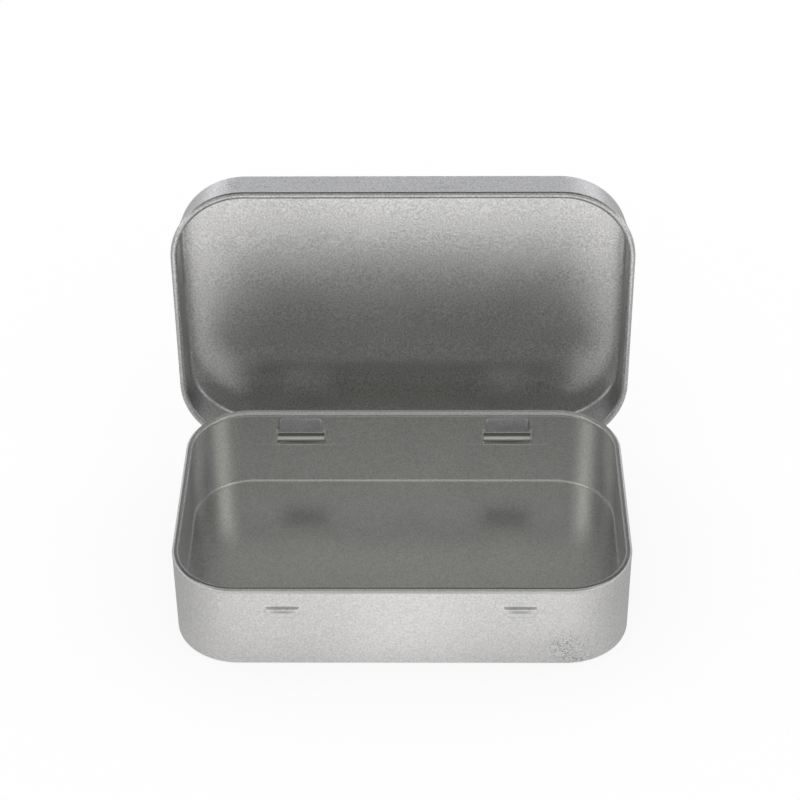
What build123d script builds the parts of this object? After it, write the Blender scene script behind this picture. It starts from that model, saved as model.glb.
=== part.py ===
from build123d import *
import os
from math import acos, atan, cos, degrees, radians, sin

# Sheet
sheet = 0.25

# Base tray, measured over its rim
base_length = 90.9
base_width = 57.9
base_corner_r = 13.1
base_height = 19.65
base_floor_edge = 0.45
base_curl_r = 0.72
base_curl_bulge = 0.04

# Lid cap, measured over its rim, which stands out past the base's rim
lid_overhang = 2.175
lid_corner_r = 15.6
lid_depth = 9.8
lid_inset = 1.1
lid_edge = 0.6
lid_curl_r = 0.7
lid_curl_bulge = 0.15

# How the closed lid sits on the base
panel_gap = 0.15
lid_set_forward = 0.53

# Hinge axis, behind the back wall and below the base's rim
open_angle = 92.6
pivot_behind_wall = 0.5
pivot_below_rim = 9.05
hinge_x = 22.2

# Slot and louvre in the back wall
slot_width = 10.7
slot_top_drop = 5.25
slot_bottom_drop = 9.35
slot_lip = 0.18
louvre_top_drop = 2.2
louvre_low_width = 10.1
louvre_high_width = 8.9
louvre_depth = 1.0
louvre_top_depth = 0.2
louvre_corner_r = 1.2
louvre_draft = 12.0

# Tongue of the lid, hooked round the slot's lower edge
tongue_width = 10.1
tongue_notch = 0.08
tongue_notch_height = 1.6
tongue_bend_r = 0.6
tongue_hook_r = 0.2
tongue_slot_gap = 0.15
tongue_stand_off = 1.73
tongue_reach = 2.0
tongue_curl_r = 0.6
tongue_curl_depth = 0.7

# Snap bumps on the front wall
bump_x = 23.1
bump_drop = 4.9
bump_width = 7.2
bump_height = 1.35
bump_rise = 0.5
bump_draft = 45.0
bump_skirt_height = 3.0
bump_skirt_r = 2.3
bump_skirt_rise = 0.12
bump_skirt_draft = 45.0

# Curled rims: angle that they run through from their outermost line, and angle of one flat
curl_end = 270.0
curl_step = 22.5

# Small overlap for clean joins
join = 0.05

lid_length = base_length + 2 * lid_overhang
lid_width = base_width + 2 * lid_overhang
base_wall_y = base_width / 2 - base_curl_bulge
pivot_y = base_wall_y + pivot_behind_wall
pivot_z = base_height - pivot_below_rim
slot_low_z = base_height - slot_bottom_drop
slot_high_z = base_height - slot_top_drop
lid_top_z = base_height + panel_gap + sheet
lid_mouth_z = lid_top_z - lid_depth
lid_back_y = lid_width / 2 - lid_set_forward
skirt_slope = atan((lid_inset - lid_curl_bulge) / lid_depth)


# Plan outline at a height
def plan(length, width, corner_r, inset, z):
    face = RectangleRounded(length - 2 * inset, width - 2 * inset, corner_r - inset)
    return Plane.XY.offset(z) * face


# Upright drawing plane whose drawing faces the front
def upright(x, y):
    return Plane(origin=(x, y, 0), x_dir=(1, 0, 0), z_dir=(0, -1, 0))


# Points on a circle about the roll's centre
def ring_points(radius, angles):
    return [(radius * cos(radians(a)), radius * sin(radians(a))) for a in angles]


# Open roll of sheet in short flats, drawn outwards and upwards from its centre
def roll_face(radius, start):
    turns = round(curl_end / curl_step)
    angles = [start, start / 2] + [turn * curl_step for turn in range(turns + 1)]
    outside = ring_points(radius, angles)
    inside = ring_points(radius - sheet, angles[::2])
    return make_face(Polyline(*outside, *reversed(inside), close=True))


# Roll swept round a rim, inside the rim's outline
def rim_roll(length, width, corner_r, radius, bulge, z, upwards):
    start = degrees(acos(1 - (bulge + join) / radius))
    face = roll_face(radius, -start)
    if not upwards:
        face = mirror(face, about=Plane.XZ)
    path = plan(length, width, corner_r, radius, z).wire()
    start_point = path @ 0
    outward = (path % 0).cross(Vector(0, 0, 1))
    if outward.dot(start_point) < 0:
        outward = -outward
    place = Plane(origin=start_point, x_dir=outward, z_dir=outward.cross(Vector(0, 0, 1)))
    return sweep(place * face, path=path)


# Drawn tray with its curled rim
def tray():
    wall_top = base_height - base_curl_r
    corner_r = base_corner_r
    outer = extrude(plan(base_length, base_width, corner_r, base_curl_bulge, 0), amount=wall_top)
    outer = chamfer(outer.edges().group_by(Axis.Z)[0], base_floor_edge)
    inset = base_curl_bulge + sheet
    inner = extrude(plan(base_length, base_width, corner_r, inset, sheet), amount=wall_top)
    inner = chamfer(inner.edges().group_by(Axis.Z)[0], base_floor_edge - sheet / 2)
    roll = rim_roll(
        base_length, base_width, corner_r, base_curl_r, base_curl_bulge, wall_top, True,
    )
    return (outer - inner) + roll


# Louvre outline on the back wall
def louvre_face(x, y, inset):
    low = louvre_low_width / 2 - inset
    high = louvre_high_width / 2 - inset
    top = base_height - louvre_top_drop - inset
    foot = slot_high_z - louvre_depth
    corners = Polyline((-low, foot), (-high, top), (high, top), (low, foot), close=True)
    face = make_face(corners)
    tops = face.vertices().sort_by(Axis.Y)[-2:]
    face = fillet(tops, louvre_corner_r - inset)
    return upright(x, y) * face


# Sloping louvre body in front of a wall face: shallow at its top, deep at its mouth
def louvre_body(x, wall_y, inset):
    top = base_height - louvre_top_drop
    block = louvre_face(x, wall_y + join, inset)
    block = extrude(block, amount=louvre_depth + join, taper=louvre_draft)
    high_y = wall_y - louvre_top_depth
    low_y = wall_y - louvre_depth
    front_y = low_y - join
    foot = slot_high_z
    spare = Polyline((low_y, foot), (high_y, top), (front_y, top), (front_y, foot), close=True)
    side = Plane(origin=(x - slot_width / 2, 0, 0), x_dir=(0, 1, 0), z_dir=(1, 0, 0))
    return block - extrude(side * make_face(spare), amount=slot_width)


# Louvre pushed in from the back wall, and the recess behind it
def louvre(x):
    inner_y = base_wall_y - sheet
    return louvre_body(x, inner_y, 0), louvre_body(x, base_wall_y, sheet / 2)


# Slot under the louvre that the tongue passes through, its lower edge bevelled inside
def slot(x):
    inner_y = base_wall_y - sheet
    front_y = inner_y - louvre_depth - sheet - join
    back_y = base_wall_y + join
    outline = Polyline(
        (front_y, slot_high_z), (front_y, slot_low_z - slot_lip), (inner_y, slot_low_z - slot_lip),
        (inner_y + slot_lip, slot_low_z), (back_y, slot_low_z), (back_y, slot_high_z), close=True,
    )
    side = Plane(origin=(x - slot_width / 2, 0, 0), x_dir=(0, 1, 0), z_dir=(1, 0, 0))
    return extrude(side * make_face(outline), amount=slot_width)


# Snap bump pressed out of the front wall, and the dent behind it
def bump(x):
    z = base_height - bump_drop
    y = -base_wall_y + join
    ridge = upright(x, y) * (Pos(0, z) * SlotOverall(bump_width, bump_height))
    ridge = extrude(ridge, amount=bump_rise + join, taper=bump_draft)
    top = z + bump_height / 2
    half = bump_width / 2
    foot = top - bump_skirt_height
    apron = make_face(Polyline((-half, top), (half, top), (half, foot), (-half, foot), close=True))
    apron = fillet(apron.vertices().sort_by(Axis.Y)[:2], bump_skirt_r)
    apron = fillet(apron.vertices().sort_by(Axis.Y)[-2:], bump_height / 2)
    apron = extrude(
        upright(x, y) * apron, amount=bump_skirt_rise + join, taper=bump_skirt_draft
    )
    dent = SlotOverall(bump_width - 4 * sheet, bump_height - 4 * sheet)
    dent = upright(x, -base_wall_y + sheet + join) * (Pos(0, z) * dent)
    return ridge + apron, extrude(dent, amount=bump_rise + join)


# Base: tray, two hinge slots under louvres and two snap bumps
def make_base():
    body = tray()
    for x in (-hinge_x, hinge_x):
        solid, recess = louvre(x)
        body = body + solid - recess - slot(x)
    for x in (-bump_x, bump_x):
        solid, dent = bump(x)
        body = body + solid - dent
    return body


# Tapered cap of the closed lid, about its own middle
def cap():
    draft = degrees(skirt_slope)
    skirt_low = lid_mouth_z + lid_curl_r
    height = lid_top_z - skirt_low
    low_inset = lid_curl_bulge + (skirt_low - lid_mouth_z) * sin(skirt_slope)
    outer = extrude(
        plan(lid_length, lid_width, lid_corner_r, low_inset, skirt_low),
        amount=height, taper=draft,
    )
    outer = chamfer(outer.edges().group_by(Axis.Z)[-1], lid_edge)
    inner = extrude(
        plan(lid_length, lid_width, lid_corner_r, low_inset + sheet, skirt_low),
        amount=height - sheet, taper=draft,
    )
    inner = fillet(inner.edges().group_by(Axis.Z)[-1], lid_edge)
    roll = rim_roll(
        lid_length, lid_width, lid_corner_r, lid_curl_r, lid_curl_bulge, skirt_low, False,
    )
    return (outer - inner) + roll


# Gap in the lid's curled rim that leaves room for a tongue
def notch(x):
    width = tongue_width + 2 * tongue_notch
    depth = 2 * (lid_curl_r + lid_curl_bulge) + 2 * sheet
    height = 2 * tongue_notch_height
    return Pos(x, lid_back_y, lid_mouth_z) * Box(width, depth * 2, height)


# One side of a tongue's sheet: down the skirt, in through the slot, down and rolled back
def tongue_side(skirt_y, run_z, leg_y, end_z, tip_y, radii):
    top_z = lid_mouth_z + tongue_notch_height + join
    path = ((skirt_y, top_z), (skirt_y, run_z), (leg_y, run_z), (leg_y, end_z), (tip_y, end_z))
    return FilletPolyline(*path, radius=radii)


# Tongue of the closed lid, hooked behind the wall with its end rolled towards it
def tongue(x):
    drop = tongue_notch_height + join
    skirt_y = lid_back_y - lid_curl_bulge - drop * sin(skirt_slope)
    run_z = slot_low_z + tongue_slot_gap
    leg_y = base_wall_y - tongue_stand_off
    end_z = pivot_z - tongue_reach
    tip_y = leg_y + tongue_curl_depth
    outside = tongue_side(
        skirt_y, run_z, leg_y + sheet, end_z + sheet, tip_y,
        (tongue_bend_r, tongue_hook_r, tongue_curl_r - sheet),
    )
    inside = tongue_side(
        skirt_y - sheet, run_z + sheet, leg_y, end_z, tip_y,
        (tongue_bend_r - sheet, tongue_hook_r + sheet, tongue_curl_r),
    )
    face = make_face([outside, inside, Line(outside @ 0, inside @ 0), Line(outside @ 1, inside @ 1)])
    side = Plane(origin=(x - tongue_width / 2, 0, 0), x_dir=(0, 1, 0), z_dir=(1, 0, 0))
    return extrude(side * face, amount=tongue_width)


# Lid: cap with two hooked tongues, opened about the hinge axis
def make_lid():
    body = Pos(0, -lid_set_forward, 0) * cap()
    for x in (-hinge_x, hinge_x):
        body = body - notch(x) + tongue(x)
    hinge = Axis((0, pivot_y, pivot_z), (1, 0, 0))
    return body.rotate(hinge, -open_angle)


os.makedirs("parts", exist_ok=True)
export_step(make_base(), "parts/base.step")
export_step(make_lid(), "parts/lid.step")
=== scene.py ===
import math

import bpy
from mathutils import Matrix, Vector

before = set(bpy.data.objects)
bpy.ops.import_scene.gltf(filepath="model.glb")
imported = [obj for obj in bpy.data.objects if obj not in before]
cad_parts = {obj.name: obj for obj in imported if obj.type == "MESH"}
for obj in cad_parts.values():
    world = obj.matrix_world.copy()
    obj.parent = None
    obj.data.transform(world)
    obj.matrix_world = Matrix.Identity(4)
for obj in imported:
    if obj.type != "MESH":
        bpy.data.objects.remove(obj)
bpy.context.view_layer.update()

WHITE = (1.0, 1.0, 1.0, 1.0)

# Camera: place, turns in degrees from a camera that looks straight down, lens and sensor in mm
CAMERA_PLACE = Vector((0.00532, -0.34252, 0.30068))
CAMERA_TURN = 0.943
CAMERA_TILT = 53.127
CAMERA_ROLL = -0.588
CAMERA_LENS = 98.02
CAMERA_SENSOR = 36.0

# Floor: size, its own grey, light added for the camera, light and tint that the tin reflects
FLOOR_SIZE = 4.0
FLOOR_SHADE = 0.18
FLOOR_SEEN = 0.83
FLOOR_MIRRORED = 0.30
FLOOR_TINT = (1.0, 0.99, 0.975, 1.0)

# Brighter pools on the floor, on both sides where x isn't 0: x, y, spread, strength
FLOOR_POOLS = (
    (0.0, -0.038, 0.012, 0.20),
    (0.033, -0.040, 0.012, 0.16),
    (0.0, -0.075, 0.030, 0.34),
    (0.0, -0.160, 0.050, 0.85),
    (0.090, -0.090, 0.030, 0.68),
)

# Surroundings: even light for the floor and the camera, tints of what the tin reflects
EVEN_LEVEL = 1.0
HORIZON_TINT = (0.98, 0.985, 1.02, 1.0)
GLOW_TINT = (0.98, 1.0, 0.89, 1.0)

# Bright bands of the horizon: height of a unit direction, spread, strength
HORIZON = (
    (0.09, 0.40, 0.32),
    (0.0, 0.18, 0.80),
)

# Soft glows, on both sides where the turn isn't 0: turn from the front, height and spread in
# degrees, strength
GLOWS = (
    (0.0, 65.0, 14.0, 0.63),
    (60.0, 52.0, 8.0, 1.0),
    (60.0, 37.0, 6.0, 0.42),
)

# Tinplate: darkest and brightest grain of each sheet, and where its noise starts
BASE_COLOURS = ((0.66, 0.66, 0.655, 1.0), (0.90, 0.90, 0.895, 1.0))
BASE_SEED = 1.0
LID_COLOURS = ((0.58, 0.58, 0.575, 1.0), (0.98, 0.98, 0.975, 1.0))
LID_SEED = 5.0
TIN_ROUGHNESS = 0.29
TIN_ROUGHNESS_SPREAD = 0.01

# Fine grain and broad clouds of the tinplate, and the noise values that give its darkest and
# brightest tone
GRAIN_SIZE = 0.0004
GRAIN_DETAIL = 1.0
GRAIN_HEIGHT = 0.000023
GRAIN_SHARE = 0.85
CLOUD_SIZE = 0.012
CLOUD_DETAIL = 3.0
CLOUD_SEED_STEP = 1.0
NOISE_LOW = 0.3
NOISE_HIGH = 0.7

# Rounded look of the sheet's edges
EDGE_RADIUS = 0.0003
EDGE_SAMPLES = 6

# Places of the hinges and of the snap bumps to the side
HINGE_X = 0.0222
BUMP_X = 0.0231

# Painted shade on the lid's tongues, where the slots in the back wall shade them: reach to the side,
# strength, edges of the shade, share under the roll, width of its faded edge
HINGE_SHADE = (0.26, 0.26, 0.25, 1.0)
HINGE_SHADE_REACH = 0.0045
HINGE_SHADE_STRENGTH = 2.0
HINGE_SHADE_BACK = 0.0292
HINGE_SHADE_TOP_FRONT = 0.0280
HINGE_SHADE_TOP_LOW = 0.0123
HINGE_SHADE_TOP_HIGH = 0.0145
HINGE_SHADE_UNDER_HIGH = 0.0122
HINGE_SHADE_UNDER_SHARE = 0.5
HINGE_SHADE_FADE = 0.0003

# Painted highlights on both sides, at the bumps' ends, the slots' lower edges and the tongues'
# rolls: middle, reach
PAINTED_HIGHLIGHT = (0.98, 0.98, 0.97, 1.0)
BASE_HIGHLIGHTS = (
    ((0.0202, -0.0294, 0.0147), (0.00045, 0.0010, 0.00055)),
    ((0.0259, -0.0294, 0.0147), (0.00050, 0.0010, 0.00055)),
    ((HINGE_X, 0.0287, 0.0102), (0.0050, 0.0004, 0.00020)),
)
LID_HIGHLIGHTS = (
    ((HINGE_X, 0.0276, 0.0126), (0.0060, 0.0004, 0.00035)),
)

# Painted shade under both bumps and along the front rim, under its roll: middle, reach
UNDER_SHADE = (0.42, 0.42, 0.41, 1.0)
BASE_UNDER_SHADE = (
    ((BUMP_X, -0.0290, 0.0139), (0.0019, 0.0008, 0.00020)),
    ((0.0, -0.0290, 0.0190), (0.026, 0.0008, 0.00018)),
)

# Patches of dark specks, each on one side: middle, reach
SPECK = (0.36, 0.36, 0.35, 1.0)
SPECK_SIZE = 0.00022
SPECK_DETAIL = 0.0
SPECK_SEED_STEP = 2.0
SPECK_LOW = 0.54
SPECK_HIGH = 0.60
BASE_SPECKED = (
    ((0.0322, -0.0285, 0.0046), (0.0030, 0.003, 0.0024)),
    ((0.0340, -0.0280, 0.0012), (0.0026, 0.003, 0.0014)),
)
LID_SPECKED = (
    ((-0.0345, 0.0365, 0.0700), (0.0012, 0.0025, 0.0020)),
    ((-0.0285, 0.0355, 0.0713), (0.0012, 0.0004, 0.0010)),
    ((0.0088, 0.0352, 0.0713), (0.0018, 0.0005, 0.0010)),
)

# Sockets of a colour mix, which share their names with other sockets
MIX_FIRST = 6
MIX_SECOND = 7
MIX_RESULT = 2


# A value and its mirror image, or the value alone where it is 0
def both_sides(value):
    return (-value, value) if value else (value,)


# The given spots on both sides of the tin
def on_both_sides(spots):
    return [((side, y, z), reach) for (x, y, z), reach in spots for side in both_sides(x)]


# Unit direction at a turn from the front and a height, both in degrees
def direction(turn, height):
    turn, height = math.radians(turn), math.radians(height)
    level = math.cos(height)
    return math.sin(turn) * level, -math.cos(turn) * level, math.sin(height)


# Link a node's output to a socket, or set the socket's own value
def feed(tree, value, socket):
    if isinstance(value, bpy.types.NodeSocket):
        tree.links.new(value, socket)
    else:
        socket.default_value = value


# New node with its settings made and its sockets fed, each by name or index
def add_node(tree, kind, inputs=None, **settings):
    node = tree.nodes.new(kind)
    for name, setting in settings.items():
        setattr(node, name, setting)
    for key, value in (inputs or {}).items():
        feed(tree, value, node.inputs[key])
    return node


def math_node(tree, operation, *values, clamp=False):
    inputs = dict(enumerate(values))
    node = add_node(tree, "ShaderNodeMath", inputs, operation=operation, use_clamp=clamp)
    return node.outputs[0]


def vector_node(tree, operation, output, *values):
    node = add_node(tree, "ShaderNodeVectorMath", dict(enumerate(values)), operation=operation)
    return node.outputs[output]


def noise(tree, vector, size, detail, seed):
    inputs = {"Vector": vector, "Scale": 1.0 / size, "Detail": detail, "W": seed}
    return add_node(tree, "ShaderNodeTexNoise", inputs, noise_dimensions="4D").outputs["Fac"]


# Value taken from one range to another
def spread(tree, value, low, high, to_low, to_high):
    inputs = {
        "Value": value, "From Min": low, "From Max": high, "To Min": to_low, "To Max": to_high,
    }
    return add_node(tree, "ShaderNodeMapRange", inputs).outputs["Result"]


def mix_colour(tree, factor, first, second):
    inputs = {"Factor": factor, MIX_FIRST: first, MIX_SECOND: second}
    return add_node(tree, "ShaderNodeMix", inputs, data_type="RGBA").outputs[MIX_RESULT]


def add_shaders(tree, first, second):
    return add_node(tree, "ShaderNodeAddShader", {0: first, 1: second}).outputs[0]


# Emission or background of a colour and strength
def light(tree, kind, colour, strength):
    return add_node(tree, kind, {"Color": colour, "Strength": strength}).outputs[0]


# Bell curve of a value about its middle
def bell(tree, value, middle, width, height):
    offset = math_node(tree, "SUBTRACT", value, middle)
    share = math_node(tree, "DIVIDE", offset, width)
    square = math_node(tree, "MULTIPLY", share, share)
    fall = math_node(tree, "EXPONENT", math_node(tree, "MULTIPLY", square, -0.5))
    return math_node(tree, "MULTIPLY", fall, height)


# Value that is 1 at a point and falls off over a reach given per axis
def patch(tree, place, middle, reach):
    offset = vector_node(tree, "SUBTRACT", "Vector", place, middle)
    share = vector_node(tree, "DIVIDE", "Vector", offset, reach)
    length = vector_node(tree, "LENGTH", "Value", share)
    return bell(tree, length, 0.0, 1.0, 1.0)


def patches(tree, place, spots):
    total = 0.0
    for middle, reach in spots:
        total = math_node(tree, "MAXIMUM", patch(tree, place, middle, reach), total)
    return total


# Value that rises from 0 to 1 just past an edge
def rise(tree, value, edge):
    return spread(tree, value, edge, edge + HINGE_SHADE_FADE, 0.0, 1.0)


# Value that drops from 1 to 0 just past an edge
def drop(tree, value, edge):
    return spread(tree, value, edge, edge + HINGE_SHADE_FADE, 1.0, 0.0)


# Painted shade on the tongues, up to just behind the back wall: on top behind the roll, and under it
def hinge_shade_mask(tree, place):
    axes = add_node(tree, "ShaderNodeSeparateXYZ", {0: place}).outputs
    side = math_node(tree, "ABSOLUTE", axes["X"])
    near = bell(tree, side, HINGE_X, HINGE_SHADE_REACH, HINGE_SHADE_STRENGTH)
    near = math_node(tree, "MULTIPLY", near, drop(tree, axes["Y"], HINGE_SHADE_BACK))
    top = math_node(
        tree, "MULTIPLY", rise(tree, axes["Y"], HINGE_SHADE_TOP_FRONT), rise(tree, axes["Z"], HINGE_SHADE_TOP_LOW),
    )
    top = math_node(tree, "MULTIPLY", top, drop(tree, axes["Z"], HINGE_SHADE_TOP_HIGH))
    under = math_node(tree, "MULTIPLY", drop(tree, axes["Z"], HINGE_SHADE_UNDER_HIGH), HINGE_SHADE_UNDER_SHARE)
    return math_node(tree, "MULTIPLY", math_node(tree, "ADD", top, under), near, clamp=True)


# Satin tinplate with fine grain, painted highlights, painted shade and dark specks
def tinplate(name, seed, colours, highlight_spots, under_shade_spots, specked, shade_mask=None):
    material = bpy.data.materials.new(name)
    material.use_nodes = True
    tree = material.node_tree
    shader = tree.nodes["Principled BSDF"]
    place = add_node(tree, "ShaderNodeTexCoord").outputs["Object"]

    grain = noise(tree, place, GRAIN_SIZE, GRAIN_DETAIL, seed)
    cloud = noise(tree, place, CLOUD_SIZE, CLOUD_DETAIL, seed + CLOUD_SEED_STEP)
    fine = math_node(tree, "MULTIPLY", grain, GRAIN_SHARE)
    broad = math_node(tree, "MULTIPLY", cloud, 1.0 - GRAIN_SHARE)
    tone = spread(tree, math_node(tree, "ADD", fine, broad), NOISE_LOW, NOISE_HIGH, 0.0, 1.0)
    colour = mix_colour(tree, tone, *colours)
    # Painted shade under the snap bumps and under the front rim's roll
    if under_shade_spots:
        colour = mix_colour(tree, patches(tree, place, under_shade_spots), colour, UNDER_SHADE)
    # Painted shade on the tongues in the hinges, where the slots shade them
    if shade_mask:
        colour = mix_colour(tree, shade_mask(tree, place), colour, HINGE_SHADE)
    # Painted highlights at the bumps' ends, the slots' lower edges and the tongues' rolls
    colour = mix_colour(tree, patches(tree, place, highlight_spots), colour, PAINTED_HIGHLIGHT)
    specks = noise(tree, place, SPECK_SIZE, SPECK_DETAIL, seed + SPECK_SEED_STEP)
    specks = spread(tree, specks, SPECK_LOW, SPECK_HIGH, 0.0, 1.0)
    specks = math_node(tree, "MULTIPLY", specks, patches(tree, place, specked))
    feed(tree, mix_colour(tree, specks, colour, SPECK), shader.inputs["Base Color"])

    smooth = TIN_ROUGHNESS - TIN_ROUGHNESS_SPREAD
    dull = TIN_ROUGHNESS + TIN_ROUGHNESS_SPREAD
    rough = spread(tree, cloud, NOISE_LOW, NOISE_HIGH, smooth, dull)
    feed(tree, rough, shader.inputs["Roughness"])

    edge = add_node(tree, "ShaderNodeBevel", {"Radius": EDGE_RADIUS}, samples=EDGE_SAMPLES)
    relief = {"Distance": GRAIN_HEIGHT, "Height": grain, "Normal": edge.outputs["Normal"]}
    bump = add_node(tree, "ShaderNodeBump", relief)
    feed(tree, bump.outputs["Normal"], shader.inputs["Normal"])

    shader.inputs["Metallic"].default_value = 1.0
    return material


# Material in every slot of a CAD node
def dress(node, material):
    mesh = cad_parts[node].data
    for index in range(len(mesh.materials)):
        mesh.materials[index] = material


# Strength of the floor that the tin reflects
def floor_reflected(tree):
    place = add_node(tree, "ShaderNodeNewGeometry").outputs["Position"]
    total = FLOOR_MIRRORED
    for x, y, width, strength in FLOOR_POOLS:
        for side in both_sides(x):
            reach = vector_node(tree, "DISTANCE", "Value", place, (side, y, 0.0))
            total = math_node(tree, "ADD", bell(tree, reach, 0.0, width, strength), total)
    return total


# White floor that keeps the tin's soft shadow
def make_floor():
    bpy.ops.mesh.primitive_plane_add(size=FLOOR_SIZE)
    floor = bpy.context.object
    floor.name = "floor"
    material = bpy.data.materials.new("floor_white")
    material.use_nodes = True
    tree = material.node_tree
    tree.nodes.remove(tree.nodes["Principled BSDF"])
    grey = (FLOOR_SHADE, FLOOR_SHADE, FLOOR_SHADE, 1.0)
    diffuse = add_node(tree, "ShaderNodeBsdfDiffuse", {"Color": grey}).outputs[0]
    ray = add_node(tree, "ShaderNodeLightPath").outputs
    seen = math_node(tree, "MAXIMUM", ray["Is Camera Ray"], ray["Is Transmission Ray"])
    seen = math_node(tree, "MULTIPLY", seen, FLOOR_SEEN)
    reflected = math_node(tree, "MULTIPLY", floor_reflected(tree), ray["Is Glossy Ray"])
    white = light(tree, "ShaderNodeEmission", WHITE, seen)
    card = light(tree, "ShaderNodeEmission", FLOOR_TINT, reflected)
    surface = add_shaders(tree, diffuse, add_shaders(tree, white, card))
    feed(tree, surface, tree.nodes["Material Output"].inputs["Surface"])
    floor.data.materials.append(material)


# Strength of the horizon's bands in a direction
def horizon(tree, way):
    height = add_node(tree, "ShaderNodeSeparateXYZ", {0: way}).outputs["Z"]
    total = 0.0
    for middle, width, strength in HORIZON:
        total = math_node(tree, "ADD", bell(tree, height, middle, width, strength), total)
    return total


# Strength of the glows in a direction
def glows(tree, way):
    total = 0.0
    for turn, height, width, strength in GLOWS:
        for side in both_sides(turn):
            likeness = vector_node(tree, "DOT_PRODUCT", "Value", way, direction(side, height))
            angle = math_node(tree, "ARCCOSINE", likeness)
            part = bell(tree, angle, 0.0, math.radians(width), strength)
            total = math_node(tree, "ADD", part, total)
    return total


# Even white for the camera and the floor, bright horizon and soft glows for the tin's reflections
def make_surroundings():
    world = bpy.data.worlds.new("studio")
    world.use_nodes = True
    bpy.context.scene.world = world
    tree = world.node_tree
    way = add_node(tree, "ShaderNodeTexCoord").outputs["Generated"]
    low = light(tree, "ShaderNodeBackground", HORIZON_TINT, horizon(tree, way))
    high = light(tree, "ShaderNodeBackground", GLOW_TINT, glows(tree, way))
    even = light(tree, "ShaderNodeBackground", WHITE, EVEN_LEVEL)
    ray = add_node(tree, "ShaderNodeLightPath").outputs
    plain = math_node(tree, "MAXIMUM", ray["Is Diffuse Ray"], ray["Is Camera Ray"])
    sides = {0: plain, 1: add_shaders(tree, low, high), 2: even}
    choose = add_node(tree, "ShaderNodeMixShader", sides)
    feed(tree, choose.outputs[0], tree.nodes["World Output"].inputs["Surface"])


def make_camera():
    lens = bpy.data.cameras.new("camera")
    lens.lens = CAMERA_LENS
    lens.sensor_width = CAMERA_SENSOR
    camera = bpy.data.objects.new("camera", lens)
    turn = Matrix.Rotation(math.radians(CAMERA_TURN), 4, "Z")
    tilt = Matrix.Rotation(math.radians(CAMERA_TILT), 4, "X")
    roll = Matrix.Rotation(math.radians(CAMERA_ROLL), 4, "Z")
    camera.matrix_world = Matrix.Translation(CAMERA_PLACE) @ turn @ tilt @ roll
    bpy.context.scene.collection.objects.link(camera)
    bpy.context.scene.camera = camera


base_tin = tinplate(
    "base_satin_tinplate", BASE_SEED, BASE_COLOURS,
    on_both_sides(BASE_HIGHLIGHTS), on_both_sides(BASE_UNDER_SHADE), BASE_SPECKED,
)
lid_tin = tinplate(
    "lid_satin_tinplate", LID_SEED, LID_COLOURS,
    on_both_sides(LID_HIGHLIGHTS), (), LID_SPECKED, hinge_shade_mask,
)
dress("base", base_tin)
dress("lid", lid_tin)
make_floor()
make_surroundings()
make_camera()
bpy.context.scene.view_settings.view_transform = "Standard"
